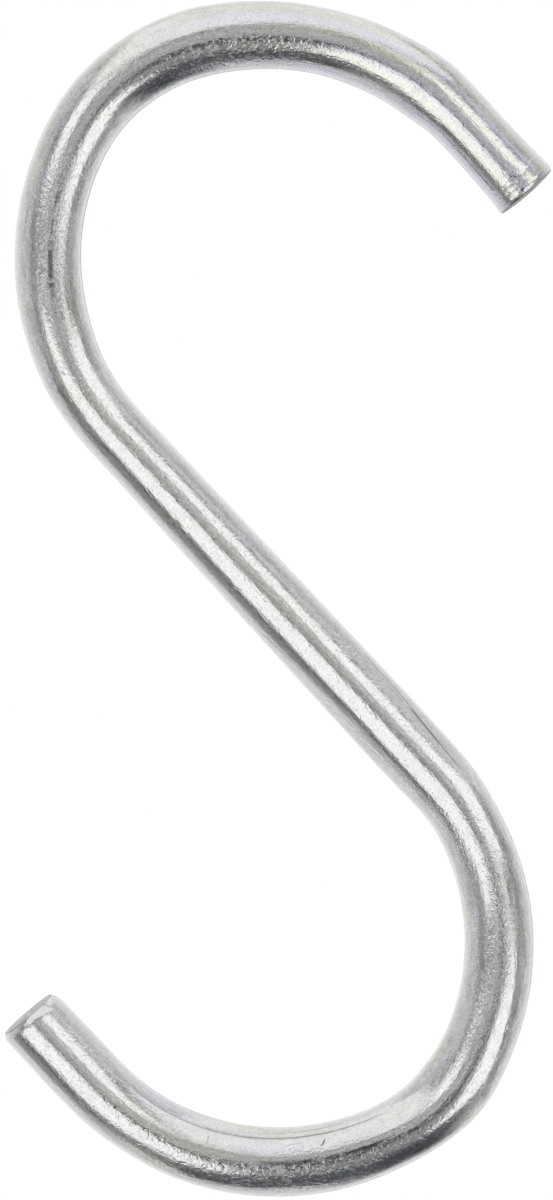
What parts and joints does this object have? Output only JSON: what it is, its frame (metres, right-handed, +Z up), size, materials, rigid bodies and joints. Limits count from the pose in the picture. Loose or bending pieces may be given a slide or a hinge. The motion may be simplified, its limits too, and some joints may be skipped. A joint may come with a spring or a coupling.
{
  "type": "s hook",
  "caption": "Open S hook bent from one length of round zinc plated steel wire, to hang a load from a rail, rod or ring.",
  "frame": {"origin": "highest point of the upper hook's inside, in the middle of the wire's width, where a rail bears", "axes": "+Z up as the hook hangs, with the lower hook's lowest inside point almost straight below; +X towards the upper hook's open side; the wire's centre line lies in the XZ plane"},
  "size_m": [0.0466, 0.0056, 0.1014],
  "materials": {
    "zinc_plated_wire": "bright zinc plate with a fine grain, drawing lines and small tool marks"
  },
  "bodies": {
    "root": {"s_hook": "zinc_plated_wire"}
  },
  "joints": []
}
